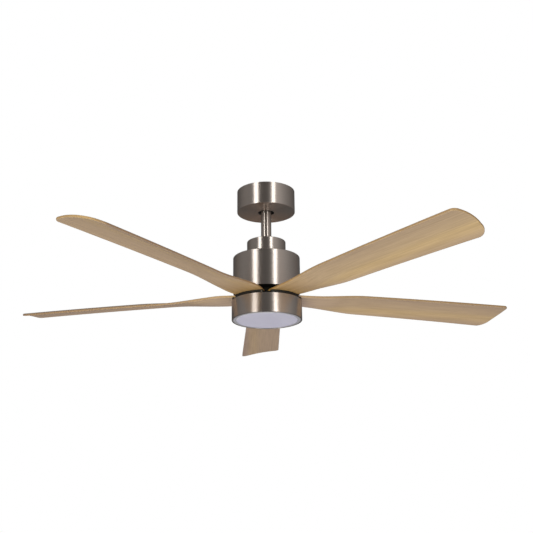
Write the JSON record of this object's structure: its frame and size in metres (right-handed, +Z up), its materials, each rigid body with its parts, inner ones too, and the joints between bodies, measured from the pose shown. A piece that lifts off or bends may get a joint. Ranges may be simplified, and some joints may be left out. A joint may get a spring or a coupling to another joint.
{
  "type": "ceiling fan with light",
  "caption": "Ceiling fan with pale wood-grain blades, brushed-nickel canopy, rod and motor drum, and a flush opal light below.",
  "frame": {"origin": "centre of the ceiling bracket's two fixing slots, on the ceiling plane", "axes": "+Z up along the fan's axis, +Y along the line of the two fixing slots, so the fan hangs below zero"},
  "size_m": [1.2398, 1.1905, 0.3292],
  "materials": {
    "brushed_nickel": "satin, brushed round the axis",
    "zinc_steel": "zinc plated",
    "screw_steel": "bright",
    "bearing_steel": "ground",
    "black_metal": "satin black",
    "cast_aluminium": "as cast",
    "stator_steel": "laminated, matt",
    "copper": "enamelled copper wire",
    "magnet": "matt",
    "oak_blade": "pale oak grain, satin",
    "opal": "opal, unlit",
    "satin_ring": "satin",
    "nylon": "natural",
    "ball_plastic": "moulded black",
    "device_plastic": "white moulded",
    "terminal_plastic": "cream",
    "foam": "matt foam",
    "circuit_board": "green solder mask",
    "board_parts": "black cases",
    "led_board": "white coated",
    "led": "phosphor, unlit",
    "wire": "insulated lead"
  },
  "bodies": {
    "ceiling_mount": {"ceiling_bracket": "zinc_steel", "canopy": "brushed_nickel", "canopy_screws": "screw_steel", "receiver_box": "device_plastic", "receiver_pad": "foam", "terminal_block": "terminal_plastic"},
    "seat_ring": {"ball_seat_ring": "nylon"},
    "hanger": {"downrod": "brushed_nickel", "coupling_cover": "brushed_nickel", "motor_housing": "brushed_nickel", "light_housing": "brushed_nickel", "hanger_pin": "zinc_steel", "coupling_pin": "zinc_steel", "coupling_clip": "zinc_steel", "motor_plate": "zinc_steel", "housing_bolts": "zinc_steel", "shaft_circlips": "zinc_steel", "board_posts": "zinc_steel", "light_plate": "zinc_steel", "light_nuts": "zinc_steel", "diffuser_clips": "zinc_steel", "led_posts": "zinc_steel", "coupling_set_screws": "screw_steel", "light_screws": "screw_steel", "bearing_inner_races": "bearing_steel", "motor_shaft": "bearing_steel", "motor_coupling": "cast_aluminium", "stator_hub": "cast_aluminium", "stator_core": "stator_steel", "stator_windings": "copper", "diffuser": "opal", "diffuser_ring": "satin_ring", "light_plug": "nylon", "hanger_ball": "ball_plastic", "led_driver": "device_plastic", "controller_board": "circuit_board", "board_parts": "board_parts", "led_board": "led_board", "led_chips": "led", "rod_wires": "wire"},
    "rotor": {"rotor_case": "black_metal", "rotor_cover": "black_metal", "rotor_magnets": "magnet", "bearing_outer_races": "bearing_steel", "bearing_balls": "bearing_steel", "blade_hub": "black_metal", "hub_lock_screw": "screw_steel", "hub_screws": "screw_steel", "blade_screws": "screw_steel", "clamp_plates": "zinc_steel", "blade_1": "oak_blade", "blade_2": "oak_blade", "blade_3": "oak_blade", "blade_4": "oak_blade", "blade_5": "oak_blade"}
  },
  "joints": [
    {"name": "swing_fore_aft", "type": "hinge", "parent": "ceiling_mount", "child": "seat_ring", "pos_m": [0, 0, -0.026], "axis": [1, 0, 0], "range_deg": [-8, 8]},
    {"name": "swing_sideways", "type": "hinge", "parent": "seat_ring", "child": "hanger", "pos_m": [0, 0, -0.026], "axis": [0, 1, 0], "range_deg": [-8, 8]},
    {"name": "rotor_spin", "type": "hinge", "parent": "hanger", "child": "rotor", "pos_m": [0, 0, -0.272], "axis": [0, 0, 1], "continuous": true}
  ]
}
